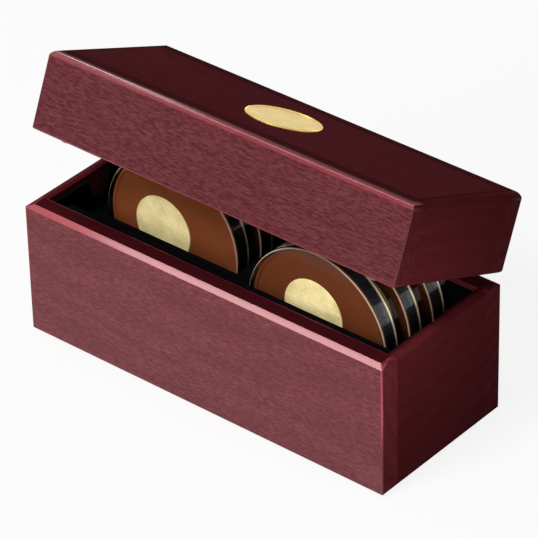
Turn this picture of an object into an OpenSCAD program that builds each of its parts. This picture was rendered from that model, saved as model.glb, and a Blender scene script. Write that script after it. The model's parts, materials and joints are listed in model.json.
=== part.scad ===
// Hinged wooden presentation box for coins in round clear capsules.
// Millimetres. Origin: centre of the underside. X: left to right, Y: front to back, Z: up.
// The lid stands part open at rest; the box is sized outwards from the capsules that it holds.

/* [Capsules and coins] */
// Radius of a round coin capsule
capsule_r = 22.9; // [20:0.1:24]
// Thickness of a closed capsule, face to face
capsule_t = 8; // [7:0.1:9]
// Thickness of a capsule's clear faces
capsule_face_t = 1.3; // [1:0.1:1.6]
// Bevel around the rim of a capsule
capsule_bevel = 0.45; // [0.2:0.05:0.6]
// Thickness of a capsule's round wall
capsule_wall_t = 0.8; // [0.8:0.1:1.6]
// Thickness of a coin
coin_t = 4.7; // [2:0.1:4.7]
// Depth of a coin's face behind the front of its capsule
coin_recess = 1.4; // [1.4:0.1:2.6]
// Width of the raised rim around a coin
coin_rim_w = 1; // [0.6:0.1:1.6]
// Height of a coin's rim above its face
coin_rim_h = 0.25; // [0.1:0.05:0.4]
// Radius of the gold core in the middle of a coin
core_r = 9.6; // [6:0.1:12]
// Distance of the core from the middle of its coin
core_shift = 4; // [0:0.1:6]
// Turn of each capsule in its cradle, front to rear, where 0 has the core on the right
right_turns = [118, 20, 250];
left_turns = [0, 181, 75];

/* [Rack] */
// Spare width of a slot over the thickness of a capsule
slot_play = 0.4; // [0.2:0.1:0.8]
// Radial gap between a capsule and the round cradle under it
cradle_gap = 0.3; // [0.2:0.05:0.5]
// Gap left at the bottom, where a capsule stands in its cradle
cradle_rest = 0.05; // [0.02:0.01:0.1]
// Thickness of the dividers between the slots
divider_t = 1.4; // [1:0.1:2.5]
// Thickness of the rack under the capsules
rack_floor_t = 5.05; // [2:0.05:8]
// Depth of the ledge in front of the slots
ledge_d = 6.1; // [3:0.1:12]
// Thickness of the wall behind the slots
rack_back_t = 2.3; // [1:0.1:5]
// Thickness of the two end walls
end_wall_t = 1.2; // [0.8:0.1:3]
// Room between a capsule and the end wall beside it
end_room = 4.5; // [1:0.1:8]
// Room between the two columns of capsules
column_gap = 12.2; // [6:0.1:20]
// Depth of the dividers' top edges below the rim
divider_drop = 11; // [8:0.1:14]
// Depth of the front ledge below the rim
ledge_drop = 4; // [1:0.1:7]
// Depth of the end and back walls below the rim
wall_drop = 1.15; // [0.3:0.05:3]
// Width of the finger notch in an end wall, at the height of the rim
notch_w = 8.4; // [4:0.1:14]
// Radius of the round bottom of the finger notch
notch_r = 3.2; // [1.5:0.1:4]
// Depth of the finger notch below the rim
notch_depth = 7.8; // [6:0.1:9]
// Gap between the rack and the wooden panels
rack_gap = 0.3; // [0.1:0.05:0.6]

/* [Wooden panels] */
// Thickness of the front and back panels
panel_t = 6.2; // [5:0.1:8]
// Thickness of the left and right panels
side_t = 3.1; // [2.5:0.1:8]
// Thickness of the floor panel
floor_t = 3.6; // [2.5:0.1:6]
// Thickness of the panel in the top of the lid
lid_panel_t = 5.6; // [4:0.1:8]
// Height of the capsules above the rim of the base
capsule_rise = 14.5; // [8:0.1:16]
// Room over the capsules when the lid is shut
lid_headroom = 2.35; // [1.5:0.05:6]
// Round along all four edges of the lid's top
lid_round = 2.4; // [1:0.1:3]
// Round along the lower edges of the lid's ends
lid_foot_round = 1.1; // [0.5:0.1:1.5]
// Round along the lower front edge of the lid
lip_round = 0.8; // [0.3:0.1:1.2]
// Width of the bevel around the top of the base, at its front and ends, seen from above
rim_bevel_w = 1.9; // [0.8:0.1:2.4]
// Depth of that bevel
rim_bevel_h = 0.7; // [0.3:0.05:1]
// Round along the rear edges that face the hinges
rear_round = 1.75; // [0.6:0.05:2.2]
// Round along the other outer edges
edge_round = 0.5; // [0.3:0.05:0.8]

/* [Linings] */
// Thickness of the felt under the base
felt_t = 0.8; // [0.5:0.1:2]
// Distance of the felt from the edges of the base
felt_inset = 2.5; // [1:0.1:6]
// Corner radius of the felt
felt_corner_r = 3; // [1:0.1:6]
// Thickness of the lining in the lid
lid_lining_t = 1; // [0.5:0.1:1.5]
// Gap around the lining in the lid
lid_lining_gap = 0.2; // [0.1:0.05:0.5]

/* [Medallion] */
// Radius of the round medallion on the lid
medallion_r = 10.5; // [6:0.1:15]
// Thickness of the medallion
medallion_t = 1.1; // [0.8:0.1:2]
// Depth that the medallion is let into the lid
medallion_seat = 0.5; // [0.2:0.1:0.6]
// Width of the medallion's raised rim
medallion_rim_w = 0.8; // [0.4:0.1:1.5]
// Height of that rim above the medallion's face
medallion_rim_h = 0.25; // [0.1:0.05:0.5]

/* [Hinges] */
// Angle that the lid stands open at rest
lid_angle = 23.3; // [0:0.1:60]
// Angle between shut and the hinges' own stop
lid_stop_angle = 100; // [80:1:110]
// Width of a hinge
hinge_w = 20; // [14:0.5:30]
// Distance of a hinge's middle from the end of the box
hinge_inset = 25; // [15:0.5:40]
// Thickness of a hinge leaf
leaf_t = 0.55; // [0.5:0.05:0.8]
// Gap between the two leaves when the lid is shut
leaf_gap = 0.05; // [0.02:0.01:0.1]
// Length of leaf that lies on the wood
leaf_seat_d = 5.4; // [4:0.1:6]
// Distance of the hinge pin behind the back panel
pin_offset = 3.05; // [2.6:0.05:4]
// Radius of the hinge pin
pin_r = 0.8; // [0.6:0.05:1]
// Thickness of a hinge pin's head, and its width around the pin
pin_head_t = 0.5; // [0.3:0.1:0.8]
// Radial clearance of the lid's knuckle on the pin
pin_play = 0.05; // [0.02:0.01:0.1]
// Outer radius of the hinge knuckles
knuckle_r = 2; // [1.7:0.05:2.2]
// End play between neighbouring knuckles
knuckle_play = 0.1; // [0.05:0.05:0.3]
// Reach of the stop tails from the pin
tail_reach = 4.4; // [3.4:0.1:5]
// Thickness of the stop tails
tail_t = 0.6; // [0.4:0.05:0.8]
// Angle left between a stop tail and where it meets the other
stop_angle_play = 0.4; // [0.2:0.1:1]
// Radius of a screw's shank
screw_r = 0.6; // [0.4:0.05:0.8]
// Radius of a screw's head
screw_head_r = 1.3; // [1:0.05:1.4]
// Thickness of the leaf left straight-sided under a screw's head
screw_land_t = 0.1; // [0.05:0.05:0.2]
// Length of a screw under its head
screw_l = 5; // [3:0.1:8]
// Distance of a hinge's two screws from its middle
screw_x = 6.4; // [3:0.1:8]

/* [Bumpers] */
// Radius of the bumpers under the front of the lid
bumper_r = 1.5; // [1:0.1:2]
// Distance of the bumpers from the back of the front rail
bumper_edge = 0.15; // [0.1:0.05:0.8]
// Gap that the bumpers leave over the rim when the lid is shut
bumper_gap = 0.1; // [0.05:0.05:0.3]
// Distance of a bumper from the end of the lid
bumper_inset = 9; // [6:0.5:30]

/* [Hidden] */

wood = "#6b2b30";
velvet = "#101012";
brass = "#d9b860";
clear = "#c9ccd6";
bronze = "#6a3519";

right = 1;
left = -right;
rows = 3;
front = 0;
rear = rows - 1;
middle = rear / 2;

cut = 0.5;                     // overshoot of cutting solids
lap = 0.3;                     // overlap between the parts of one forged piece

// Rack and box, from the capsules outwards
slot_w = capsule_t + slot_play;
pitch = slot_w + divider_t;
rack_d = ledge_d + rows * slot_w + (rows - 1) * divider_t + rack_back_t;
column_x = capsule_r + column_gap / 2;
rack_w = 2 * (column_x + capsule_r + end_room + end_wall_t);
box_w = rack_w + 2 * (rack_gap + side_t);
box_d = rack_d + 2 * (rack_gap + panel_t);
base_h = floor_t + rack_floor_t + cradle_rest + 2 * capsule_r - capsule_rise;
rim_z = felt_t + base_h;
floor_z = felt_t + floor_t;
capsule_z = rim_z + capsule_rise - capsule_r;
cradle_r = capsule_r + cradle_gap;
cradle_z = floor_z + rack_floor_t + cradle_r;
first_slot_y = -rack_d / 2 + ledge_d;
divider_z = rim_z - divider_drop;

// Lid
hinge_gap = 2 * leaf_t + leaf_gap;
lid_h = capsule_rise - hinge_gap + lid_headroom + lid_lining_t + lid_panel_t;
pin_y = box_d / 2 + pin_offset;
pin_z = rim_z + hinge_gap / 2;
lid_z = rim_z + hinge_gap;
lid_ceiling_z = lid_z + lid_h - lid_panel_t;

bumper_y = -box_d / 2 + panel_t - bumper_edge - bumper_r;

// Capsule and coin
coin_r = capsule_r - capsule_wall_t;
wall_step_r = capsule_r - capsule_wall_t / 2;
rest_w = 0.8;                  // width of the ring that a coin bears on, front and back
cover_lip = 0.6;               // how far the cover's wall laps over the back's
seam_y = capsule_t / 2;

// Hinge
hinge_x = box_w / 2 - hinge_inset;
knuckle_w = hinge_w / 4;
screw_y = box_d / 2 - leaf_seat_d / 2;
head_t = leaf_t - screw_land_t;
tail_inner_r = knuckle_r - lap;
tail_wide_r = knuckle_r + lap;
neck_inset = 0.15;
tail_rest = lid_stop_angle / 2 + asin(tail_t / 2 / tail_wide_r) + stop_angle_play;

// A rectangle centred on the origin with its own round at each corner:
// low-left, low-right, high-right, high-left
module rounded_plate(w, h, r) {
  corners = [[-1, -1], [1, -1], [1, 1], [-1, 1]];
  difference() {
    square([w, h], center = true);
    for (i = [0 : 3])
      translate([corners[i].x * (w / 2 - r[i]), corners[i].y * (h / 2 - r[i])])
        difference() {
          translate([corners[i].x * r[i], corners[i].y * r[i]])
            square(2 * r[i], center = true);
          circle(r[i], $fn = 48);
        }
  }
}

// A block with rounded edges, standing on z; sections are given as seen along X, along Y and along Z
module rounded_block(size, z, along_x, along_y, along_z) {
  translate([0, 0, z + size.z / 2])
    intersection() {
      rotate([90, 0, 90])
        linear_extrude(size.x, center = true)
          rounded_plate(size.y, size.z, along_x);
      rotate([90, 0, 0])
        linear_extrude(size.y + 2 * cut, center = true)
          rounded_plate(size.x, size.z, along_y);
      linear_extrude(size.z + 2 * cut, center = true)
        rounded_plate(size.x, size.y, along_z);
    }
}

// Section below the rim's bevel at the low end of a span or at both ends
module bevel_section(span, both_ends) {
  w = rim_bevel_w;
  h = rim_bevel_h;
  low = -span / 2;
  high = span / 2;
  slope_low = [[low - w, rim_z - 2 * h], [low + 2 * w, rim_z + h]];
  slope_high = [[high - 2 * w, rim_z + h], [high + w, rim_z - 2 * h]];
  square_high = [[high + w, rim_z + h]];
  polygon(concat([[high + w, -cut], [low - w, -cut]], slope_low, both_ends ? slope_high : square_high));
}

module under_front_bevel() {
  rotate([90, 0, 90])
    linear_extrude(box_w + 2 * rim_bevel_w, center = true)
      bevel_section(box_d, false);
}

module under_end_bevels() {
  rotate([90, 0, 0])
    linear_extrude(box_d + 2 * rim_bevel_w, center = true)
      bevel_section(box_w, true);
}

module base_block() {
  e = edge_round;
  intersection() {
    rounded_block([box_w, box_d, base_h], felt_t, [e, e, rear_round, e], [e, e, e, e], [e, e, e, e]);
    under_front_bevel();
    under_end_bevels();
  }
}

module lid_block() {
  e = edge_round;
  foot = lid_foot_round;
  top = lid_round;
  rounded_block([box_w, box_d, lid_h], lid_z,
    [lip_round, rear_round, top, top], [foot, foot, top, top], [e, e, e, e]);
}

// A box between two heights: x and y are [from, to]
module slab(x, y, z) {
  translate([x[0], y[0], z[0]])
    cube([x[1] - x[0], y[1] - y[0], z[1] - z[0]]);
}

module both_hinges() {
  for (side = [left, right])
    translate([side * hinge_x, 0, 0])
      children();
}

module screw_places() {
  both_hinges()
    for (side = [left, right])
      translate([side * screw_x, screw_y, 0])
        children();
}

// ---- Base ----

module base_front_panel() {
  color(wood)
    intersection() {
      base_block();
      slab([-box_w, box_w], [-box_d, -box_d / 2 + panel_t], [0, rim_z + cut]);
    }
}

module base_back_panel() {
  color(wood)
    difference() {
      intersection() {
        base_block();
        slab([-box_w, box_w], [box_d / 2 - panel_t, box_d], [0, rim_z + cut]);
      }
      screw_places()
        translate([0, 0, rim_z - screw_l])
          cylinder(h = screw_l + cut, r = screw_r, $fn = 32);
    }
}

module base_side_panel(side) {
  inner = box_w / 2 - side_t;
  color(wood)
    intersection() {
      base_block();
      translate([side * (inner + box_w / 2), 0, rim_z / 2])
        cube([box_w, box_d - 2 * panel_t, rim_z + 2 * cut], center = true);
    }
}

module base_floor_panel() {
  color(wood)
    translate([0, 0, felt_t + floor_t / 2])
      cube([box_w - 2 * side_t, box_d - 2 * panel_t, floor_t], center = true);
}

module base_felt_pad() {
  c = felt_corner_r;
  color(velvet)
    linear_extrude(felt_t)
      rounded_plate(box_w - 2 * felt_inset, box_d - 2 * felt_inset, [c, c, c, c]);
}

// ---- Rack ----

module rack_front_ledge() {
  color(velvet)
    slab([-rack_w / 2 + end_wall_t, rack_w / 2 - end_wall_t], [-rack_d / 2, first_slot_y],
         [floor_z, rim_z - ledge_drop]);
}

module rack_back_wall() {
  color(velvet)
    slab([-rack_w / 2 + end_wall_t, rack_w / 2 - end_wall_t], [rack_d / 2 - rack_back_t, rack_d / 2],
         [floor_z, rim_z - wall_drop]);
}

module rack_end(side) {
  top = notch_w / 2;
  round_z = notch_r - notch_depth;
  color(velvet)
    translate([side * (rack_w - end_wall_t) / 2, 0, 0])
      difference() {
        translate([0, 0, (floor_z + rim_z - wall_drop) / 2])
          cube([end_wall_t, rack_d, rim_z - wall_drop - floor_z], center = true);
        translate([0, 0, rim_z])
          rotate([90, 0, 90])
            linear_extrude(end_wall_t + 2 * cut, center = true) {
              polygon([[-top, 0], [-notch_r, round_z], [notch_r, round_z], [top, 0]]);
              translate([0, round_z])
                circle(notch_r, $fn = 48);
            }
      }
}

// One thick sheet of the rack with a round cradle for each column
module rack_cradle(row) {
  color(velvet)
    difference() {
      translate([0, first_slot_y + row * pitch + slot_w / 2, (floor_z + divider_z) / 2])
        cube([rack_w - 2 * end_wall_t, slot_w, divider_z - floor_z], center = true);
      for (side = [left, right])
        translate([side * column_x, 0, cradle_z])
          rotate([90, 0, 0])
            cylinder(h = 2 * rack_d, r = cradle_r, center = true, $fn = 96);
    }
}

module rack_divider(row) {
  y = first_slot_y + row * pitch + slot_w;
  color(velvet)
    slab([-rack_w / 2 + end_wall_t, rack_w / 2 - end_wall_t], [y, y + divider_t], [floor_z, divider_z]);
}

// ---- Capsules and coins, drawn facing -Y around the Y axis ----

module turned(profile) {
  rotate([-90, 0, 0])
    rotate_extrude($fn = 96)
      polygon(profile);
}

module at_slot(side, row) {
  turns = side == right ? right_turns : left_turns;
  translate([side * column_x, first_slot_y + row * pitch + slot_play / 2, capsule_z])
    rotate([0, -turns[row], 0])
      children();
}

module capsule_cover() {
  b = capsule_bevel;
  color(clear)
    turned([
      [0, 0], [capsule_r - b, 0], [capsule_r, b], [capsule_r, seam_y + cover_lip],
      [wall_step_r, seam_y + cover_lip], [wall_step_r, seam_y - cover_lip], [coin_r, seam_y - cover_lip],
      [coin_r, coin_recess], [coin_r - rest_w, coin_recess], [coin_r - rest_w, capsule_face_t],
      [0, capsule_face_t]
    ]);
}

module capsule_back() {
  b = capsule_bevel;
  t = capsule_t;
  coin_back = coin_recess + coin_t;
  color(clear)
    turned([
      [0, t], [capsule_r - b, t], [capsule_r, t - b], [capsule_r, seam_y + cover_lip],
      [wall_step_r, seam_y + cover_lip], [wall_step_r, seam_y - cover_lip], [coin_r, seam_y - cover_lip],
      [coin_r, coin_back], [coin_r - rest_w, coin_back], [coin_r - rest_w, t - capsule_face_t],
      [0, t - capsule_face_t]
    ]);
}

module core_disc(t) {
  translate([core_shift, coin_recess + coin_t / 2, 0])
    rotate([90, 0, 0])
      cylinder(h = t, r = core_r, center = true, $fn = 96);
}

module coin_ring() {
  near = coin_recess;
  far = coin_recess + coin_t;
  rim_in = coin_r - coin_rim_w;
  color(bronze)
    difference() {
      turned([
        [0, near + coin_rim_h], [rim_in, near + coin_rim_h], [rim_in, near], [coin_r, near],
        [coin_r, far], [rim_in, far], [rim_in, far - coin_rim_h], [0, far - coin_rim_h]
      ]);
      core_disc(coin_t);
    }
}

module coin_core() {
  color(brass)
    core_disc(coin_t - coin_rim_h);
}

// ---- Hinges ----

// A stop tail that leaves the pin's axis at an angle above +Y
module tail(span, angle, from_r) {
  rotate([angle, 0, 0])
    slab(span, [from_r, tail_reach], [-tail_t / 2, tail_t / 2]);
}

// The flat of a leaf on the wood, and the necks that join it to its own knuckles
module leaf_plate(z, head_up, necks) {
  edge_y = -knuckle_r - knuckle_play;
  far_y = -pin_offset - leaf_seat_d;
  translate([0, 0, z])
    difference() {
      linear_extrude(leaf_t) {
        translate([-hinge_w / 2, far_y])
          square([hinge_w, edge_y - far_y]);
        for (span = necks)
          translate([span[0], edge_y - lap])
            square([span[1] - span[0], lap - tail_inner_r - edge_y]);
      }
      for (side = [left, right])
        translate([side * screw_x, screw_y - pin_y, leaf_t / 2])
          rotate([head_up ? 0 : 180, 0, 0])
            translate([0, 0, leaf_t / 2])
              screw_body(cut);
    }
}

// A countersunk screw pointing down from z = 0; extra stands over its head
module screw_body(extra) {
  translate([0, 0, -head_t])
    cylinder(h = head_t, r1 = screw_r, r2 = screw_head_r, $fn = 32);
  translate([0, 0, -screw_l - leaf_t])
    cylinder(h = screw_l + leaf_t - head_t, r = screw_r, $fn = 32);
  if (extra > 0)
    cylinder(h = extra, r = screw_head_r, $fn = 32);
}

// One leaf about the pin: plate, knuckles along the given spans of X, and stop tails.
// Necks and tails stand a little in from the ends of their knuckles.
module leaf(z, head_up, spans, bore_r, angle) {
  h = hinge_w / 2;
  necks = [for (span = spans) [span[0] + neck_inset, span[1] - neck_inset]];
  color(brass)
    translate([0, pin_y, pin_z])
      difference() {
        union() {
          leaf_plate(z, head_up, necks);
          for (span = necks)
            tail(span, angle, tail_inner_r);
          for (span = spans)
            translate([span[0], 0, 0])
              rotate([90, 0, 90])
                cylinder(h = span[1] - span[0], r = knuckle_r, $fn = 48);
          if (len(spans) == 1)
            tail([-h, h], angle, tail_wide_r);
        }
        rotate([90, 0, 90])
          cylinder(h = hinge_w + 2 * cut, r = bore_r, center = true, $fn = 48);
      }
}

module base_leaf() {
  h = hinge_w / 2;
  inner = h - knuckle_w + knuckle_play;
  leaf(-hinge_gap / 2, true, [[-h, -inner], [inner, h]], pin_r, -tail_rest);
}

module lid_leaf() {
  k = hinge_w / 2 - knuckle_w;
  leaf(leaf_gap / 2, false, [[-k, k]], pin_r + pin_play, tail_rest);
}

module hinge_pin() {
  color(brass)
    translate([0, pin_y, pin_z])
      rotate([90, 0, 90]) {
        cylinder(h = hinge_w, r = pin_r, center = true, $fn = 48);
        for (side = [left, right])
          translate([0, 0, side * (hinge_w + pin_head_t) / 2])
            cylinder(h = pin_head_t, r = pin_r + pin_head_t, center = true, $fn = 48);
      }
}

module base_hinge_screws() {
  color(brass)
    screw_places()
      translate([0, 0, rim_z + leaf_t])
        screw_body(0);
}

module lid_hinge_screws() {
  color(brass)
    screw_places()
      translate([0, 0, lid_z - leaf_t])
        rotate([180, 0, 0])
          screw_body(0);
}

// ---- Lid, drawn shut and then opened about the pins ----

module open_lid() {
  translate([0, pin_y, pin_z])
    rotate([-lid_angle, 0, 0])
      translate([0, -pin_y, -pin_z])
        children();
}

module lid_front_rail() {
  color(wood)
    intersection() {
      lid_block();
      slab([-box_w, box_w], [-box_d, -box_d / 2 + panel_t], [lid_z - cut, lid_z + lid_h + cut]);
    }
}

module lid_back_rail() {
  color(wood)
    difference() {
      intersection() {
        lid_block();
        slab([-box_w, box_w], [box_d / 2 - panel_t, box_d], [lid_z - cut, lid_z + lid_h + cut]);
      }
      screw_places()
        translate([0, 0, lid_z - cut])
          cylinder(h = screw_l + cut, r = screw_r, $fn = 32);
    }
}

module lid_side_rail(side) {
  inner = box_w / 2 - side_t;
  color(wood)
    intersection() {
      lid_block();
      translate([side * (inner + box_w / 2), 0, lid_z + lid_h / 2])
        cube([box_w, box_d - 2 * panel_t, lid_h + 2 * cut], center = true);
    }
}

module lid_top_panel() {
  color(wood)
    difference() {
      slab([-box_w / 2 + side_t, box_w / 2 - side_t], [-box_d / 2 + panel_t, box_d / 2 - panel_t],
           [lid_ceiling_z, lid_z + lid_h]);
      translate([0, 0, lid_z + lid_h - medallion_seat])
        cylinder(h = medallion_seat + cut, r = medallion_r, $fn = 96);
    }
}

module lid_lining() {
  g = lid_lining_gap;
  color(velvet)
    translate([0, 0, lid_ceiling_z - lid_lining_t / 2])
      cube([box_w - 2 * (side_t + g), box_d - 2 * (panel_t + g), lid_lining_t], center = true);
}

module lid_medallion() {
  r = medallion_r;
  t = medallion_t;
  rim_in = r - medallion_rim_w;
  color(brass)
    translate([0, 0, lid_z + lid_h - medallion_seat])
      rotate_extrude($fn = 96)
        polygon([
          [0, 0], [r, 0], [r, t - medallion_rim_h], [r - medallion_rim_w / 2, t],
          [rim_in, t - medallion_rim_h], [0, t - medallion_rim_h]
        ]);
}

module lid_bumpers() {
  color(clear)
    for (side = [left, right])
      translate([side * (box_w / 2 - bumper_inset), bumper_y, rim_z + bumper_gap])
        cylinder(h = hinge_gap - bumper_gap, r = bumper_r, $fn = 48);
}

base_front_panel();
base_back_panel();
base_side_panel(left);  // base_left_panel
base_side_panel(right);  // base_right_panel
base_floor_panel();
base_felt_pad();

rack_front_ledge();
rack_back_wall();
rack_end(left);  // rack_left_end
rack_end(right);  // rack_right_end
rack_cradle(front);  // rack_front_cradle
rack_cradle(middle);  // rack_middle_cradle
rack_cradle(rear);  // rack_rear_cradle
rack_divider(front);  // rack_front_divider
rack_divider(middle);  // rack_rear_divider

translate([left * hinge_x, 0, 0]) base_leaf();  // left_hinge_base_leaf
translate([right * hinge_x, 0, 0]) base_leaf();  // right_hinge_base_leaf
translate([left * hinge_x, 0, 0]) hinge_pin();  // left_hinge_pin
translate([right * hinge_x, 0, 0]) hinge_pin();  // right_hinge_pin
base_hinge_screws();

open_lid() lid_top_panel();
open_lid() lid_front_rail();
open_lid() lid_back_rail();
open_lid() lid_side_rail(left);  // lid_left_rail
open_lid() lid_side_rail(right);  // lid_right_rail
open_lid() lid_lining();
open_lid() lid_medallion();
open_lid() lid_bumpers();
open_lid() translate([left * hinge_x, 0, 0]) lid_leaf();  // left_hinge_lid_leaf
open_lid() translate([right * hinge_x, 0, 0]) lid_leaf();  // right_hinge_lid_leaf
open_lid() lid_hinge_screws();

at_slot(right, front) capsule_cover();  // right_front_capsule_cover
at_slot(right, front) capsule_back();  // right_front_capsule_back
at_slot(right, front) coin_ring();  // right_front_coin_ring
at_slot(right, front) coin_core();  // right_front_coin_core
at_slot(right, middle) capsule_cover();  // right_middle_capsule_cover
at_slot(right, middle) capsule_back();  // right_middle_capsule_back
at_slot(right, middle) coin_ring();  // right_middle_coin_ring
at_slot(right, middle) coin_core();  // right_middle_coin_core
at_slot(right, rear) capsule_cover();  // right_rear_capsule_cover
at_slot(right, rear) capsule_back();  // right_rear_capsule_back
at_slot(right, rear) coin_ring();  // right_rear_coin_ring
at_slot(right, rear) coin_core();  // right_rear_coin_core
at_slot(left, middle) capsule_cover();  // left_middle_capsule_cover
at_slot(left, middle) capsule_back();  // left_middle_capsule_back
at_slot(left, middle) coin_ring();  // left_middle_coin_ring
at_slot(left, middle) coin_core();  // left_middle_coin_core
at_slot(left, rear) capsule_cover();  // left_rear_capsule_cover
at_slot(left, rear) capsule_back();  // left_rear_capsule_back
at_slot(left, rear) coin_ring();  // left_rear_coin_ring
at_slot(left, rear) coin_core();  // left_rear_coin_core
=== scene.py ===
import json
import math

import bpy
from mathutils import Matrix, Vector


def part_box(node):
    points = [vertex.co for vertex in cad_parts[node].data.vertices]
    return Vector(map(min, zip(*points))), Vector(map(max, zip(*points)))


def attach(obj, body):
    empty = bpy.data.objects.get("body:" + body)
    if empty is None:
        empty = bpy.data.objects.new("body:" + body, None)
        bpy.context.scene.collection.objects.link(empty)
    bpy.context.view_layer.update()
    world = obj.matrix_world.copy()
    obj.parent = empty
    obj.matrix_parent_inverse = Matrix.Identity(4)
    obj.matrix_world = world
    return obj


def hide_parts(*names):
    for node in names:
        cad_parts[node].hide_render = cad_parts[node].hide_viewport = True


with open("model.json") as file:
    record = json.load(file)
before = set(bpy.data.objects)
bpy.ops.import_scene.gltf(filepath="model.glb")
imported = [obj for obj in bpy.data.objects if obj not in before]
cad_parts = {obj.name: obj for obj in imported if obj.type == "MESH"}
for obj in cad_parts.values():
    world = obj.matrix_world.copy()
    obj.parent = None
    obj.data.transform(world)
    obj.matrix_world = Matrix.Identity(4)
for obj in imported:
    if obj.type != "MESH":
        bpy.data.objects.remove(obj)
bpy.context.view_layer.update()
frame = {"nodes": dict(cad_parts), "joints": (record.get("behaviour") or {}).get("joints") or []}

mm = 0.001


def centreOf(node):
    low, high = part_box(node)
    return (low + high) / 2


# How the lid stands open: the row's joint runs from shut, and its pins are the hinges' own
lidJoint = next(joint for joint in frame["joints"] if joint["name"] == "lid_hinge")
lidAngle = -math.radians(lidJoint["range_deg"][0])
pinCentre = Vector((0, *centreOf("left_hinge_pin")[1:]))
openLid = (Matrix.Translation(pinCentre) @ Matrix.Rotation(-lidAngle, 4, "X")
           @ Matrix.Translation(-pinCentre))


# Camera

cameraSet = {
    "aim": (0.00125, 0.0025, 0.0316),
    "azimuth": 40.63,
    "elevation": 34.09,
    "roll": -1.39,
    "distance": 0.9923,
    "lens": 251.14,
}


def addCamera():
    turn = math.radians(cameraSet["azimuth"])
    rise = math.radians(cameraSet["elevation"])
    roll = math.radians(cameraSet["roll"])
    back = Vector((math.sin(turn) * math.cos(rise), -math.cos(turn) * math.cos(rise), math.sin(rise)))
    level = Vector((math.cos(turn), math.sin(turn), 0))
    up = back.cross(level)
    right = level * math.cos(roll) + up * math.sin(roll)
    upright = back.cross(right)
    place = Matrix((right, upright, back)).transposed().to_4x4()
    place.translation = Vector(cameraSet["aim"]) + back * cameraSet["distance"]
    bpy.ops.object.camera_add()
    camera = bpy.context.object
    camera.name = "camera"
    camera.matrix_world = place
    camera.data.lens = cameraSet["lens"]
    camera.data.clip_start = 0.01
    bpy.context.scene.camera = camera


# Node helpers

def newTree(name):
    material = bpy.data.materials.new(name)
    material.use_nodes = True
    tree = material.node_tree
    tree.nodes.clear()
    return material, tree


def add(tree, kind, inputs=None, **settings):
    node = tree.nodes.new("ShaderNode" + kind)
    for key, value in settings.items():
        setattr(node, key, value)
    for key, value in (inputs or {}).items():
        if isinstance(value, bpy.types.NodeSocket):
            tree.links.new(value, node.inputs[key])
        else:
            node.inputs[key].default_value = value
    return node


def finishTree(tree, shader):
    output = add(tree, "OutputMaterial")
    tree.links.new(shader, output.inputs["Surface"])


def ramp(tree, factor, stops):
    node = add(tree, "ValToRGB", {"Fac": factor})
    elements = node.color_ramp.elements
    while len(elements) < len(stops):
        elements.new(0.5)
    for element, (place, colour) in zip(elements, stops):
        element.position = place
        element.color = (*colour, 1)
    return node.outputs["Color"]


def mathNode(tree, operation, a, b=0.0):
    return add(tree, "Math", {0: a, 1: b}, operation=operation).outputs[0]


def mapRange(tree, value, fromLow, fromHigh, toLow=0.0, toHigh=1.0):
    node = add(tree, "MapRange", {"Value": value, "From Min": fromLow, "From Max": fromHigh,
                                  "To Min": toLow, "To Max": toHigh})
    return node.outputs["Result"]


def mixColour(tree, factor, a, b):
    node = add(tree, "Mix", data_type="RGBA")
    for socket, value in ((node.inputs[0], factor), (node.inputs[6], a), (node.inputs[7], b)):
        if isinstance(value, bpy.types.NodeSocket):
            tree.links.new(value, socket)
        elif isinstance(value, tuple):
            socket.default_value = (*value, 1)
        else:
            socket.default_value = value
    return node.outputs[2]


def mapped(tree, vector, scale=(1, 1, 1), turn=(0, 0, 0), shift=(0, 0, 0)):
    node = add(tree, "Mapping", {"Vector": vector, "Scale": scale, "Rotation": turn, "Location": shift})
    return node.outputs["Vector"]


def noise(tree, vector, scale, detail=3.0, roughness=0.5):
    node = add(tree, "TexNoise", {"Vector": vector, "Scale": scale, "Detail": detail, "Roughness": roughness})
    return node.outputs["Fac"]


def weighted(tree, *parts):
    total = None
    for value, weight in parts:
        share = mathNode(tree, "MULTIPLY", value, weight)
        total = share if total is None else mathNode(tree, "ADD", total, share)
    return total


# Stained wood under satin lacquer

woodLook = {
    "dark": (0.088, 0.0095, 0.0135),
    "middle": (0.140, 0.0185, 0.0240),
    "light": (0.235, 0.0520, 0.0620),
    # dark colour of open pore, also used as the painted shade on flat tops
    "pore": (0.058, 0.0060, 0.0085),
    "endGrain": 0.18,          # how far the stain darkens where it soaked into the ends
    # pale pink of the bevels: partly worn stain, partly a painted highlight standing in for the lamp's reflection
    "worn": (0.570, 0.082, 0.104),
    "dashScale": 4000.0,
    "dashStretch": 0.12,
    "figureScale": 62.0,
    "figureStretch": 0.035,
    "poreDepth": 0.00004,
    "lacquerRoughness": 0.11,
    "rubbedSpan": (-0.035, 0.005),    # where along the box the bevel's lacquer starts and ends to thin out
}


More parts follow.
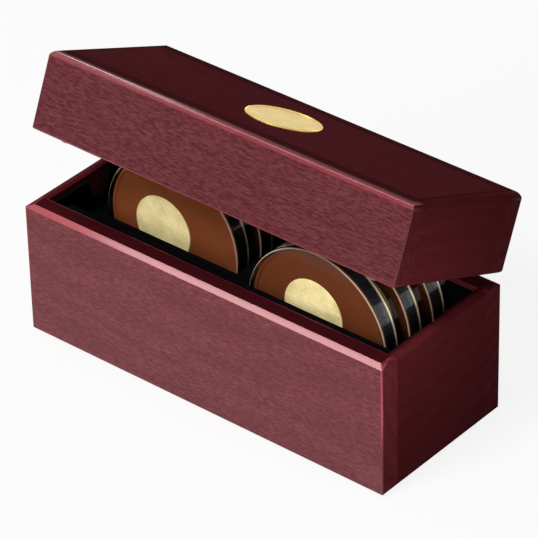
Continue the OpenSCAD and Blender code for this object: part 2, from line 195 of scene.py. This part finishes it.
def stainedWood(name, along="x", onLid=False, shift=(0, 0, 0),
                figure=0.5,                  # how strongly the rings show
                speckle=1.0,                 # how strongly the short dashes of open pore show
                tone=1.0,                    # scales the stain; on several panels a tone away from 1 is painted light or painted shade
                paintedTopShade=0.85,               # how far flat tops are darkened: painted shade, standing in for the dim light that reaches tops
                crown=(0.96, 0.995),         # where a turning edge starts and ends to become a top
                worn=0.1,                    # how pale the bevel is: partly paler worn stain, partly a painted highlight for the lamp's reflection in it
                gloss=(0.01, 0.20, 0.03),    # lacquer on tops and ends, on long faces, on the bevels above them
                rubbed=1.0):                 # share of the bevel's lacquer left at the right, where fingers lift
    look = woodLook
    material, tree = newTree(name)
    place = add(tree, "TexCoord").outputs["Object"]
    normal = add(tree, "TexCoord").outputs["Normal"]
    if onLid:
        place = mapped(tree, place, turn=(lidAngle, 0, 0))
        normal = mapped(tree, normal, turn=(lidAngle, 0, 0))
    place = mapped(tree, place, turn=(0, 0, math.pi / 2 if along == "y" else 0), shift=shift)
    faces = add(tree, "SeparateXYZ", {0: add(tree, "VectorMath", {0: normal}, operation="ABSOLUTE").outputs[0]})

    # Growth rings, bent by a slow warp, then fibres, clouds and short dashes of open pore
    warp = noise(tree, mapped(tree, place, scale=(0.3, 1, 1)), 34.0, detail=2.0)
    sway = add(tree, "CombineXYZ", {"Y": mathNode(tree, "MULTIPLY", warp, 0.020),
                                    "Z": mathNode(tree, "MULTIPLY", warp, 0.013)}).outputs[0]
    bent = add(tree, "VectorMath", {0: mapped(tree, place, scale=(look["figureStretch"], 1, 1)), 1: sway},
               operation="ADD").outputs[0]
    rings = add(tree, "TexWave", {"Vector": bent, "Scale": look["figureScale"], "Distortion": 1.6, "Detail": 3.0,
                                  "Detail Scale": 1.6, "Detail Roughness": 0.6},
                wave_type="RINGS", rings_direction="X").outputs["Fac"]
    fibre = noise(tree, mapped(tree, place, scale=(0.08, 1, 1)), 1300.0, detail=3.0, roughness=0.6)
    cloud = noise(tree, mapped(tree, place, scale=(0.5, 1, 1)), 75.0, detail=4.0, roughness=0.6)
    dashes = noise(tree, mapped(tree, place, scale=(look["dashStretch"], 1, 1)), look["dashScale"],
                   detail=2.0, roughness=0.65)

    shade = weighted(tree, (rings, 0.10 * figure), (fibre, 0.06 + 0.10 * speckle), (cloud, 0.08),
                     (dashes, 1.20 * speckle))
    middle = 0.05 * figure + 0.07 + 0.65 * speckle
    dark, plain, light = (tuple(tone * part for part in look[key]) for key in ("dark", "middle", "light"))
    stain = ramp(tree, shade, [(middle - 0.17, dark), (middle, plain), (middle + 0.19, light)])
    pores = mapRange(tree, dashes, 0.60, 0.70)
    colour = mixColour(tree, mathNode(tree, "MULTIPLY", pores, 0.40 * speckle), stain, look["pore"])
    # Flat tops are darkened towards the pore colour: painted shade, not a stain
    tops = mapRange(tree, faces.outputs[2], *crown, 0.0, paintedTopShade)
    colour = mixColour(tree, tops, colour, look["pore"])
    if along == "x":
        soaked = mapRange(tree, faces.outputs[0], 0.6, 0.9, 0.0, look["endGrain"])
        colour = mixColour(tree, soaked, colour, look["pore"])

    height = mathNode(tree, "SUBTRACT", mathNode(tree, "MULTIPLY", fibre, 0.3), pores)
    bump = add(tree, "Bump", {"Strength": 0.45, "Distance": look["poreDepth"], "Height": height}).outputs[0]
    matt, long, bevel = gloss
    front = mapRange(tree, faces.outputs[1], 0.10, 0.30)
    rising = mathNode(tree, "MULTIPLY", front, mapRange(tree, faces.outputs[2], 0.20, 0.45))
    rising = mathNode(tree, "MULTIPLY", rising, mapRange(tree, faces.outputs[2], *crown, 1.0, 0.0))
    # Bevels rising from a long face turn pale pink: partly wear, partly a painted highlight
    colour = mixColour(tree, mathNode(tree, "MULTIPLY", rising, worn), colour, look["worn"])
    ends = add(tree, "SeparateXYZ", {0: add(tree, "TexCoord").outputs["Object"]}).outputs[0]
    kept = mathNode(tree, "MULTIPLY", rising, mapRange(tree, ends, *look["rubbedSpan"], 1.0, rubbed))
    lacquer = weighted(tree, (front, long - matt), (kept, bevel - long))
    lacquer = mathNode(tree, "ADD", lacquer, matt)
    shader = add(tree, "BsdfPrincipled", {
        "Base Color": colour, "Roughness": mapRange(tree, cloud, 0.3, 0.7, 0.55, 0.7), "Normal": bump,
        "Specular IOR Level": 0.0, "Coat Weight": lacquer, "Coat Roughness": look["lacquerRoughness"],
        "Coat IOR": 1.5})
    finishTree(tree, shader.outputs[0])
    return material


# Flock, velvet and felt: short upright pile

def napped(name, colour, tuftColour, tuftScale, sheen, lift):
    material, tree = newTree(name)
    place = add(tree, "TexCoord").outputs["Object"]
    tufts = noise(tree, place, tuftScale, detail=4.0, roughness=0.7)
    brushed = noise(tree, mapped(tree, place, scale=(1, 1, 0.4)), 90.0, detail=4.0)
    shade = weighted(tree, (tufts, 0.7), (brushed, 0.45))
    tone = ramp(tree, shade, [(0.35, colour), (0.80, tuftColour)])
    bump = add(tree, "Bump", {"Strength": 0.8, "Distance": lift, "Height": tufts}).outputs[0]
    shader = add(tree, "BsdfPrincipled", {
        "Base Color": tone, "Roughness": 0.95, "Normal": bump, "Specular IOR Level": 0.0,
        "Sheen Weight": sheen, "Sheen Roughness": 0.4, "Sheen Tint": (0.75, 0.75, 0.85, 1)})
    finishTree(tree, shader.outputs[0])
    return material


# Clear plastic: rays towards the lamps pass straight through it

plasticLook = {
    "tint": (0.96, 0.96, 0.985, 1),
    "index": 1.12,            # below real acrylic, so that the coins stay readable
    "wallGloss": 0.35,        # extra gloss on the round walls, none on the flat faces
    "smearScale": 120.0,
}


def clearPlastic(name):
    material, tree = newTree(name)
    place = add(tree, "TexCoord").outputs["Object"]
    smear = noise(tree, place, plasticLook["smearScale"], detail=5.0, roughness=0.6)
    bump = add(tree, "Bump", {"Strength": 0.10, "Distance": 0.00003,
                              "Height": noise(tree, place, 260.0, detail=2.0)}).outputs[0]
    normal = add(tree, "SeparateXYZ", {0: add(tree, "TexCoord").outputs["Normal"]}).outputs[1]
    wall = mapRange(tree, mathNode(tree, "ABSOLUTE", normal), 0.9, 0.6, 0.0, plasticLook["wallGloss"])
    body = add(tree, "BsdfPrincipled", {
        "Base Color": plasticLook["tint"], "Roughness": mapRange(tree, smear, 0.45, 0.75, 0.010, 0.045),
        "Normal": bump, "IOR": plasticLook["index"], "Transmission Weight": 1.0,
        "Coat Weight": wall, "Coat Roughness": 0.04}).outputs[0]
    through = add(tree, "BsdfTransparent", {"Color": (0.95, 0.95, 0.96, 1)}).outputs[0]
    toLamp = add(tree, "LightPath").outputs["Is Shadow Ray"]
    finishTree(tree, add(tree, "MixShader", {0: toLamp, 1: body, 2: through}).outputs[0])
    return material


# A pale gold line painted on a capsule's front bevel: a painted highlight, standing in for the lamp's reflection in
# the bevel

def paintedRimHighlight(name):
    material, tree = newTree(name)
    place = add(tree, "TexCoord").outputs["Object"]
    grain = noise(tree, place, 2600.0, detail=3.0)
    tone = ramp(tree, grain, [(0.3, (0.50, 0.44, 0.30)), (0.7, (0.72, 0.65, 0.48))])
    shader = add(tree, "BsdfPrincipled", {
        "Base Color": tone, "Roughness": mapRange(tree, grain, 0.3, 0.7, 0.25, 0.4), "IOR": 1.49}).outputs[0]
    finishTree(tree, shader)
    return material


# Metals and the moulded bumpers

def metal(name, low, high, roughness, metallic, specular=0.5, bumpDepth=0.00002, patch=220.0):
    material, tree = newTree(name)
    place = add(tree, "TexCoord").outputs["Object"]
    fine = noise(tree, place, 1800.0, detail=3.0, roughness=0.6)
    broad = noise(tree, place, patch, detail=4.0)
    shade = weighted(tree, (fine, 0.45), (broad, 0.55))
    tone = ramp(tree, shade, [(0.34, low), (0.66, high)])
    gloss = mapRange(tree, shade, 0.35, 0.65, *roughness)
    bump = add(tree, "Bump", {"Strength": 0.5, "Distance": bumpDepth, "Height": fine}).outputs[0]
    shader = add(tree, "BsdfPrincipled", {"Base Color": tone, "Roughness": gloss, "Normal": bump,
                                          "Metallic": metallic, "Specular IOR Level": specular}).outputs[0]
    finishTree(tree, shader)
    return material


print("materials")
woods = {
    # The front's tone of 1.5 brightens its stain above the other panels': painted light on the lit front
    "base_front_panel": stainedWood("frontWood", shift=(0.031, 0.046, -0.008), figure=0.5, speckle=0.8, tone=1.5,
                                    paintedTopShade=0.97, worn=0.85, gloss=(0.01, 0.6, 0.70)),
    "base_back_panel": stainedWood("backWood", shift=(0.112, -0.061, 0.020), figure=0.5, speckle=0.8),
    "base_left_panel": stainedWood("leftWood", along="y", shift=(0.2, 0.030, 0.011), figure=0.2, speckle=0.15),
    # The right end's tone of 0.87 darkens it against the left end: painted shade
    "base_right_panel": stainedWood("rightWood", along="y", shift=(-0.2, -0.090, 0.017), figure=0.2, speckle=0.15,
                                    tone=0.87),
    "base_floor_panel": stainedWood("floorWood", shift=(0.4, 0.02, 0.03)),
    # The lid front's wider crown spreads the painted top shade down over its upper round
    "lid_front_rail": stainedWood("lidFrontWood", onLid=True, shift=(-0.3, 0.050, 0.013), figure=0.3, speckle=1.1,
                                  tone=1.0, crown=(0.80, 0.96), worn=0.4, gloss=(0.01, 0.40, 1.0), rubbed=0.15),
    "lid_back_rail": stainedWood("lidBackWood", onLid=True, shift=(0.25, -0.040, 0.009)),
    "lid_left_rail": stainedWood("lidLeftWood", along="y", onLid=True, shift=(0.33, 0.05, -0.03), figure=0.2,
                                 speckle=0.15),
    # The lid's right end tone of 0.9: painted shade
    "lid_right_rail": stainedWood("lidRightWood", along="y", onLid=True, shift=(-0.36, -0.11, 0.02), figure=0.2,
                                  speckle=0.15, tone=0.9),
    # The lid top's tone of 0.92 darkens it: painted shade on the lid's top
    "lid_top_panel": stainedWood("lidTopWood", onLid=True, shift=(-0.12, 0.004, 0.045), figure=0.3, speckle=0.2,
                                 tone=0.92, paintedTopShade=0.3),
}
blackFlock = napped("blackFlock", (0.0020, 0.0019, 0.0024), (0.0085, 0.0080, 0.0100), 5200.0, 0.01, 0.00012)
liningVelvet = napped("liningVelvet", (0.003, 0.003, 0.004), (0.012, 0.012, 0.014), 3600.0, 0.10, 0.00015)
baseFelt = napped("baseFelt", (0.010, 0.010, 0.011), (0.035, 0.035, 0.038), 2400.0, 0.10, 0.00020)
capsulePlastic = clearPlastic("capsulePlastic")
capsuleEdge = paintedRimHighlight("capsuleEdge")
coinBrown = metal("coinBrown", (0.118, 0.029, 0.0078), (0.140, 0.036, 0.0097), (0.50, 0.62), 0.0, 0.08)
# A darker brown for the front coin: painted shade, offsetting the extra light it gets
coinBrownDeep = metal("coinBrownDeep", (0.079, 0.0185, 0.0050), (0.094, 0.0230, 0.0062), (0.50, 0.62), 0.0, 0.08)
coinGilt = metal("coinGilt", (0.54, 0.45, 0.19), (0.82, 0.69, 0.34), (0.38, 0.48), 0.10, 0.2)
coinEdgeDark = metal("coinEdgeDark", (0.004, 0.004, 0.0045), (0.011, 0.011, 0.013), (0.40, 0.55), 0.0, 0.15)
coinEdgeGilt = metal("coinEdgeGilt", (0.93, 0.74, 0.38), (0.98, 0.84, 0.50), (0.25, 0.36), 0.45)
medallionGilt = metal("medallionGilt", (0.70, 0.50, 0.14), (0.88, 0.67, 0.24), (0.30, 0.42), 1.0)
hingeBrass = metal("hingeBrass", (0.62, 0.43, 0.16), (0.78, 0.57, 0.25), (0.18, 0.34), 1.0,
                   bumpDepth=0.000002, patch=400.0)
bumperRubber = metal("bumperRubber", (0.42, 0.42, 0.42), (0.55, 0.55, 0.55), (0.35, 0.5), 0.0)


# Shaping helpers

def selectOnly(piece):
    bpy.ops.object.select_all(action="DESELECT")
    piece.select_set(True)
    bpy.context.view_layer.objects.active = piece


def applyAll(piece):
    selectOnly(piece)
    for modifier in list(piece.modifiers):
        bpy.ops.object.modifier_apply(modifier=modifier.name)


# A separate copy of a CAD node's mesh, with its loose triangles joined up again
def copyOfNode(node, name):
    piece = bpy.data.objects.new(name, frame["nodes"][node].data.copy())
    bpy.context.scene.collection.objects.link(piece)
    piece.data.materials.clear()
    selectOnly(piece)
    bpy.ops.object.mode_set(mode="EDIT")
    bpy.ops.mesh.select_all(action="SELECT")
    bpy.ops.mesh.remove_doubles(threshold=0.000002)
    bpy.ops.mesh.dissolve_limited(angle_limit=math.radians(0.3))
    bpy.ops.object.mode_set(mode="OBJECT")
    return piece


def shadeSmooth(piece, angle=35):
    selectOnly(piece)
    bpy.ops.object.shade_smooth_by_angle(angle=math.radians(angle))
    weights = piece.modifiers.new("weights", "WEIGHTED_NORMAL")
    weights.keep_sharp = True
    applyAll(piece)


def soften(piece, width, segments=2, limit=50):
    bevel = piece.modifiers.new("soften", "BEVEL")
    bevel.width = width
    bevel.segments = segments
    bevel.limit_method = "ANGLE"
    bevel.angle_limit = math.radians(limit)
    applyAll(piece)
    shadeSmooth(piece)


def cutAway(piece, cutter):
    cut = piece.modifiers.new("cut", "BOOLEAN")
    cut.operation = "DIFFERENCE"
    cut.solver = "EXACT"
    cut.object = cutter
    applyAll(piece)


# Goes into edit mode with the faces that chosen(face) picks
def editFaces(piece, chosen):
    selectOnly(piece)
    bpy.ops.object.mode_set(mode="EDIT")
    bpy.ops.mesh.select_mode(type="FACE")
    bpy.ops.mesh.select_all(action="DESELECT")
    bpy.ops.object.mode_set(mode="OBJECT")
    for face in piece.data.polygons:
        face.select = chosen(face)
    bpy.ops.object.mode_set(mode="EDIT")


def recalculate(piece):
    selectOnly(piece)
    bpy.ops.object.mode_set(mode="EDIT")
    bpy.ops.mesh.select_all(action="SELECT")
    bpy.ops.mesh.remove_doubles(threshold=0.000001)
    bpy.ops.mesh.normals_make_consistent(inside=False)
    bpy.ops.object.mode_set(mode="OBJECT")


# Turns a piece around the Y axis: a disc is drawn out and scaled from one (radius, depth) to the next
def turnPiece(name, profile, steps):
    bpy.ops.object.select_all(action="DESELECT")
    radius, depth = profile[0]
    bpy.ops.mesh.primitive_circle_add(vertices=steps, radius=radius * mm, fill_type="NGON",
                                      location=(0, depth * mm, 0), rotation=(math.pi / 2, 0, 0))
    piece = bpy.context.object
    piece.name = name
    bpy.ops.object.transform_apply(location=True, rotation=True, scale=True)
    bpy.ops.object.mode_set(mode="EDIT")
    bpy.ops.mesh.select_mode(type="FACE")
    bpy.ops.mesh.select_all(action="SELECT")
    for nextRadius, nextDepth in profile[1:]:
        bpy.ops.mesh.extrude_region_move(
            TRANSFORM_OT_translate={"value": (0, (nextDepth - depth) * mm, 0)})
        if nextRadius != radius:
            bpy.ops.transform.resize(value=(nextRadius / radius, 1, nextRadius / radius),
                                     center_override=(0, nextDepth * mm, 0))
        radius, depth = nextRadius, nextDepth
    bpy.ops.object.mode_set(mode="OBJECT")
    recalculate(piece)
    return piece


# Gives the faces that chosen(radius, depth) picks, in millimetres around the Y axis, their own material
def paintFaces(piece, material, chosen):
    piece.data.materials.append(material)
    number = len(piece.data.materials) - 1
    for face in piece.data.polygons:
        reach = max(math.hypot(piece.data.vertices[i].co.x, piece.data.vertices[i].co.z) for i in face.vertices)
        if chosen(reach / mm, face.center.y / mm):
            face.material_index = number


# Presses every second one of the chosen faces in by a little, as a reeded edge has it
def reed(piece, chosen, steps, margin, depth):
    def everySecond(face):
        number = math.atan2(face.center.z, face.center.x) / (2 * math.pi) * steps
        return round(number + 0.5) % 2 == 0 and chosen(math.hypot(face.center.x, face.center.z) / mm,
                                                       face.center.y / mm)
    editFaces(piece, everySecond)
    bpy.ops.mesh.inset(thickness=margin * mm, depth=-depth * mm, use_individual=True)
    bpy.ops.object.mode_set(mode="OBJECT")


def movedCopy(source, name, matrix):
    piece = source.copy()
    piece.data = source.data.copy()
    piece.name = name
    bpy.context.scene.collection.objects.link(piece)
    piece.data.transform(matrix)
    return piece


def place(piece, body, material, slot, *nodes):
    if not piece.data.materials:
        piece.data.materials.append(material)
    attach(piece, body)
    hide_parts(*nodes)


def camelCase(node):
    first, *rest = node.split("_")
    return first + "".join(word.capitalize() for word in rest)


# Wooden panels, with the base's rim rounded over on its inner edge

panelSet = {
    "innerRound": 0.4,
    "roundSteps": 5,
}


def openingCutter():
    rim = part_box("base_front_panel")[1].z
    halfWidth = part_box("base_right_panel")[0].x
    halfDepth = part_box("base_back_panel")[0].y
    radius = panelSet["innerRound"] * mm
    bpy.ops.object.select_all(action="DESELECT")
    bpy.ops.mesh.primitive_cube_add(size=1, location=(0, 0, rim - 1.5 * radius))
    cutter = bpy.context.object
    cutter.scale = (2 * halfWidth, 2 * halfDepth, radius)
    bpy.ops.object.transform_apply(location=True, rotation=True, scale=True)
    editFaces(cutter, lambda face: face.normal.z > 0.5)
    height, reach = -radius, 0.0
    path = [(k / panelSet["roundSteps"] * math.pi / 2) for k in range(1, panelSet["roundSteps"] + 1)]
    for nextHeight, nextReach in [(radius * (math.sin(a) - 1), radius * (1 - math.cos(a))) for a in path] + [
            (radius, radius)]:
        bpy.ops.mesh.extrude_region_move(TRANSFORM_OT_translate={"value": (0, 0, nextHeight - height)})
        bpy.ops.transform.resize(value=((halfWidth + nextReach) / (halfWidth + reach),
                                        (halfDepth + nextReach) / (halfDepth + reach), 1),
                                 center_override=(0, 0, rim + nextHeight))
        height, reach = nextHeight, nextReach
    bpy.ops.object.mode_set(mode="OBJECT")
    return cutter


def addWood():
    cutter = openingCutter()
    for node, material in woods.items():
        piece = copyOfNode(node, camelCase(node))
        if node.startswith("base") and node != "base_floor_panel":
            cutAway(piece, cutter)
        shadeSmooth(piece)
        place(piece, "lid" if node.startswith("lid") else "base", material, "stained_wood", node)
    bpy.data.objects.remove(cutter)


# Rack and linings

liningSet = {
    "flockRound": 0.35 * mm,
    "velvetRound": 0.40 * mm,
    "feltRound": 0.25 * mm,
}


def addLinings():
    rackNodes = [node for node in frame["nodes"] if node.startswith("rack_")]
    for node in sorted(rackNodes):
        piece = copyOfNode(node, camelCase(node))
        soften(piece, liningSet["flockRound"], segments=3, limit=60)
        place(piece, "base", blackFlock, "black_flock", node)
    lining = copyOfNode("lid_lining", "lidLining")
    soften(lining, liningSet["velvetRound"], segments=3)
    place(lining, "lid", liningVelvet, "black_velvet", "lid_lining")
    pad = copyOfNode("base_felt_pad", "baseFeltPad")
    soften(pad, liningSet["feltRound"])
    place(pad, "base", baseFelt, "black_felt", "base_felt_pad")


# Hinges, their slotted screws and the bumpers

fittingSet = {
    "leafRound": 0.07 * mm,
    "slotWidth": 0.34 * mm,
    "slotDepth": 0.22 * mm,
    "headRadius": 1.3 * mm,
    "slotTurns": (20, 75, 140, 5),
    "bumperRound": 0.25 * mm,
}


def slotCutter(onLid):
    node = "lid_hinge_screws" if onLid else "base_hinge_screws"
    pin = centreOf("right_hinge_pin")
    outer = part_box("base_hinge_screws")[1]
    reach = outer.x - fittingSet["headRadius"] - pin.x
    middle = outer.y - fittingSet["headRadius"]
    head = 2 * pin.z - outer.z if onLid else outer.z
    bars = []
    for number, x in enumerate((-pin.x - reach, -pin.x + reach, pin.x - reach, pin.x + reach)):
        bpy.ops.object.select_all(action="DESELECT")
        bpy.ops.mesh.primitive_cube_add(size=1, location=(x, middle, head),
                                        rotation=(0, 0, math.radians(fittingSet["slotTurns"][number])))
        bar = bpy.context.object
        bar.scale = (3 * fittingSet["headRadius"], fittingSet["slotWidth"], 2 * fittingSet["slotDepth"])
        bpy.ops.object.transform_apply(location=True, rotation=True, scale=True)
        bars.append(bar)
    for bar in bars:
        bar.select_set(True)
    bpy.context.view_layer.objects.active = bars[0]
    bpy.ops.object.join()
    cutter = bpy.context.object
    if onLid:
        cutter.data.transform(openLid)
    return node, cutter


def addFittings():
    for node in ("left_hinge_base_leaf", "right_hinge_base_leaf", "left_hinge_pin", "right_hinge_pin",
                 "left_hinge_lid_leaf", "right_hinge_lid_leaf"):
        piece = copyOfNode(node, camelCase(node))
        soften(piece, fittingSet["leafRound"], limit=40)
        place(piece, "lid" if "lid" in node else "base", hingeBrass, "hinge_brass", node)
    for onLid in (False, True):
        node, cutter = slotCutter(onLid)
        piece = copyOfNode(node, camelCase(node))
        cutAway(piece, cutter)
        bpy.data.objects.remove(cutter)
        shadeSmooth(piece)
        place(piece, "lid" if onLid else "base", hingeBrass, "hinge_brass", node)
    bumpers = copyOfNode("lid_bumpers", "lidBumpers")
    soften(bumpers, fittingSet["bumperRound"], segments=3)
    place(bumpers, "lid", bumperRubber, "bumper_rubber", "lid_bumpers")


# Medallion: a satin face inside a reeded rim

medallionSet = {
    "steps": 144,
    "profile": [(10.5, 0.0), (10.5, 0.80), (10.42, 0.92), (10.02, 1.10), (9.86, 1.10), (9.70, 0.90), (9.55, 0.85)],
    "reedMargin": 0.03,
    "reedDepth": 0.09,
}


def addMedallion():
    low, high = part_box("lid_medallion")
    middle = (low + high) / 2
    piece = turnPiece("lidMedallion", medallionSet["profile"], medallionSet["steps"])
    reed(piece, lambda reach, depth: 10.0 < reach < 10.5 and 0.8 < depth < 1.1,
         medallionSet["steps"], medallionSet["reedMargin"], medallionSet["reedDepth"])
    # The thickness ran along +Y; it now stands up on the lid's top, which leans back
    thick = max(depth for radius, depth in medallionSet["profile"]) * mm
    up = openLid.to_3x3() @ Vector((0, 0, 1))
    piece.data.transform(Matrix.Translation(middle - up * thick / 2) @ openLid.to_3x3().to_4x4()
                         @ Matrix.Rotation(math.pi / 2, 4, "X"))
    shadeSmooth(piece, 28)
    place(piece, "lid", medallionGilt, "medallion_brass", "lid_medallion")


# Capsules and coins, modelled once around the Y axis from the front face backwards

capsuleSet = {
    "names": ["right_front", "right_middle", "right_rear", "left_middle", "left_rear"],
    "steps": 128,
    "cover": [(22.45, 0.0), (22.68, 0.23), (22.90, 0.45), (22.90, 4.58), (22.52, 4.58), (22.52, 3.38), (22.10, 3.38),
              (22.10, 1.40), (21.30, 1.40), (21.30, 1.30)],
    "back": [(22.45, 8.0), (22.90, 7.55), (22.90, 4.62), (22.48, 4.62), (22.48, 3.42), (22.10, 3.42),
             (22.10, 6.10), (21.30, 6.10), (21.30, 6.70)],
    "plasticRound": 0.05 * mm,
}

coinSet = {
    "steps": 240,
    "coreSteps": 128,
    "ring": [(20.90, 1.70), (21.02, 1.68), (21.14, 1.48), (21.24, 1.45), (21.90, 1.45), (22.02, 1.57), (22.02, 1.90),
             (22.02, 5.10), (22.02, 5.42), (22.02, 5.93), (21.90, 6.05), (21.24, 6.05), (21.14, 6.02),
             (21.02, 5.82), (20.90, 5.80)],
    "core": [(8.95, 1.64), (9.05, 1.54), (9.40, 1.52), (9.55, 1.60), (9.60, 1.72), (9.60, 5.78), (9.55, 5.90),
             (9.40, 5.98), (9.05, 5.96), (8.95, 5.86)],
    "groove": 0.10,    # the fine gap around the core
    "reedMargin": 0.10,
    "reedDepth": 0.08,
    "deepest": "right_front_coin_ring",    # the coin whose brown is darkened: painted shade, offsetting the extra lamp light it gets in the front slot
}


def addCapsules():
    cover = turnPiece("cover", capsuleSet["cover"], capsuleSet["steps"])
    back = turnPiece("back", capsuleSet["back"], capsuleSet["steps"])
    for shell in (cover, back):
        shell.data.materials.append(capsulePlastic)
        soften(shell, capsuleSet["plasticRound"], segments=2, limit=40)
    # The bevel faces take the pale line: a painted highlight
    paintFaces(cover, capsuleEdge, lambda reach, depth: reach > 22.8 and 0.24 < depth < 0.44)

    ring = turnPiece("ring", coinSet["ring"], coinSet["steps"])
    reed(ring, lambda reach, depth: reach > 21.95 and 2 < depth < 5,
         coinSet["steps"], coinSet["reedMargin"], coinSet["reedDepth"])
    core = turnPiece("core", coinSet["core"], coinSet["coreSteps"])
    shift = (centreOf("right_front_coin_core") - centreOf("right_front_coin_ring")).length
    core.data.transform(Matrix.Translation((shift, 0, 0)))
    boreRadius = max(radius for radius, depth in coinSet["core"]) + coinSet["groove"]
    bore = turnPiece("bore", [(boreRadius, -1), (boreRadius, 9)], coinSet["coreSteps"])
    bore.data.transform(Matrix.Translation((shift, 0, 0)))
    cutAway(ring, bore)
    bpy.data.objects.remove(bore)
    ring.data.materials.append(coinBrown)
    paintFaces(ring, coinEdgeDark, lambda reach, depth: reach > 21.8 and 1.6 < depth < 5.4)
    paintFaces(ring, coinEdgeGilt, lambda reach, depth: reach > 21 and depth > 5.4)
    core.data.materials.append(coinGilt)
    shadeSmooth(ring, 30)
    shadeSmooth(core, 30)

    for name in capsuleSet["names"]:
        low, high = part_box(name + "_capsule_cover")
        middle = (low + high) / 2
        offset = centreOf(name + "_coin_core") - middle
        turned = (Matrix.Translation((middle.x, low.y, middle.z))
                  @ Matrix.Rotation(-math.atan2(offset.z, offset.x), 4, "Y"))
        for source, part, slot in ((cover, "capsule_cover", "clear_plastic"), (back, "capsule_back", "clear_plastic"),
                                   (ring, "coin_ring", "coin_bronze"), (core, "coin_core", "coin_gold")):
            node = name + "_" + part
            piece = movedCopy(source, camelCase(node), turned)
            if node == coinSet["deepest"]:
                piece.data.materials[0] = coinBrownDeep
            place(piece, "capsule_" + name, None, slot, node)
    for source in (cover, back, ring, core):
        bpy.data.objects.remove(source)


# Floor, lamps and world

studioSet = {
    "floorSize": 12.0,
    "background": (0.939, 0.939, 0.939, 1),
    "floorGlow": 0.915,
    "floorTone": 0.16,
    "floorBounce": (0.45, 0.45, 0.45, 1),    # the floor as the object's faces see it
    "ambient": 0.11,
    "lamps": {
        # name: direction from the box, direction of its length, distance, length, width, radiance
        "key": ((-0.10, -0.90, 0.43), (1, 0, 0), 1.6, 0.6, 0.6, 6.0),
        "upper": ((-0.12, -0.64, 0.76), (1, 0, 0), 1.6, 0.6, 0.3, 22.0),
        "strip": ((-0.494, 0.052, 0.867), (1, 0, 0), 1.15, 0.27, 0.15, 9.5),
        "crest": ((-0.607, 0.409, 0.682), (1, 0, 0), 1.18, 0.09, 0.15, 14.0),
        "fill": ((0.100, -0.020, 0.015), (0, 1, 0), 0.103, 0.04, 0.04, 1.5),
    },
}


def addLamp(name, direction, along, distance, length, width, radiance):
    towards = Vector(direction).normalized()
    side = (Vector(along) - Vector(along).dot(towards) * towards).normalized()
    place = Matrix((side, towards.cross(side), towards)).transposed().to_4x4()
    place.translation = Vector((0, 0, 0.04)) + towards * distance
    bpy.ops.object.light_add(type="AREA")
    lamp = bpy.context.object
    lamp.name = name
    lamp.matrix_world = place
    lamp.data.shape = "RECTANGLE"
    lamp.data.size = length
    lamp.data.size_y = width
    lamp.data.energy = radiance * length * width * math.pi


def addStudio():
    bpy.ops.mesh.primitive_plane_add(size=studioSet["floorSize"])
    floor = bpy.context.object
    floor.name = "floor"
    material, tree = newTree("paleFloor")
    rays = add(tree, "LightPath")
    seen = mathNode(tree, "MAXIMUM", rays.outputs["Is Camera Ray"],
                    mathNode(tree, "MAXIMUM", rays.outputs["Is Glossy Ray"], rays.outputs["Is Transmission Ray"]))
    plain = add(tree, "BsdfDiffuse", {"Color": studioSet["floorBounce"]}).outputs[0]
    tone = studioSet["floorTone"]
    shaded = add(tree, "BsdfDiffuse", {"Color": (tone, tone, tone, 1)}).outputs[0]
    glow = add(tree, "Emission", {"Color": studioSet["background"], "Strength": studioSet["floorGlow"]}).outputs[0]
    pale = add(tree, "AddShader", {0: shaded, 1: glow}).outputs[0]
    finishTree(tree, add(tree, "MixShader", {0: seen, 1: plain, 2: pale}).outputs[0])
    floor.data.materials.append(material)

    for name, numbers in studioSet["lamps"].items():
        addLamp(name, *numbers)

    world = bpy.data.worlds.new("studio")
    bpy.context.scene.world = world
    world.use_nodes = True
    tree = world.node_tree
    tree.nodes.clear()
    rays = add(tree, "LightPath")
    seen = mathNode(tree, "MAXIMUM", rays.outputs["Is Camera Ray"],
                    mathNode(tree, "MAXIMUM", rays.outputs["Is Glossy Ray"], rays.outputs["Is Transmission Ray"]))
    ambient = add(tree, "Background", {"Color": (1, 1, 1, 1), "Strength": studioSet["ambient"]}).outputs[0]
    shown = add(tree, "Background", {"Color": studioSet["background"], "Strength": 1.0}).outputs[0]
    mixed = add(tree, "MixShader", {0: seen, 1: ambient, 2: shown}).outputs[0]
    output = add(tree, "OutputWorld")
    tree.links.new(mixed, output.inputs["Surface"])


print("camera")
addCamera()
print("wood")
addWood()
print("linings")
addLinings()
print("fittings")
addFittings()
print("medallion")
addMedallion()
print("capsules")
addCapsules()
print("studio")
addStudio()

bpy.context.scene.view_settings.view_transform = "Standard"
bpy.context.view_layer.update()
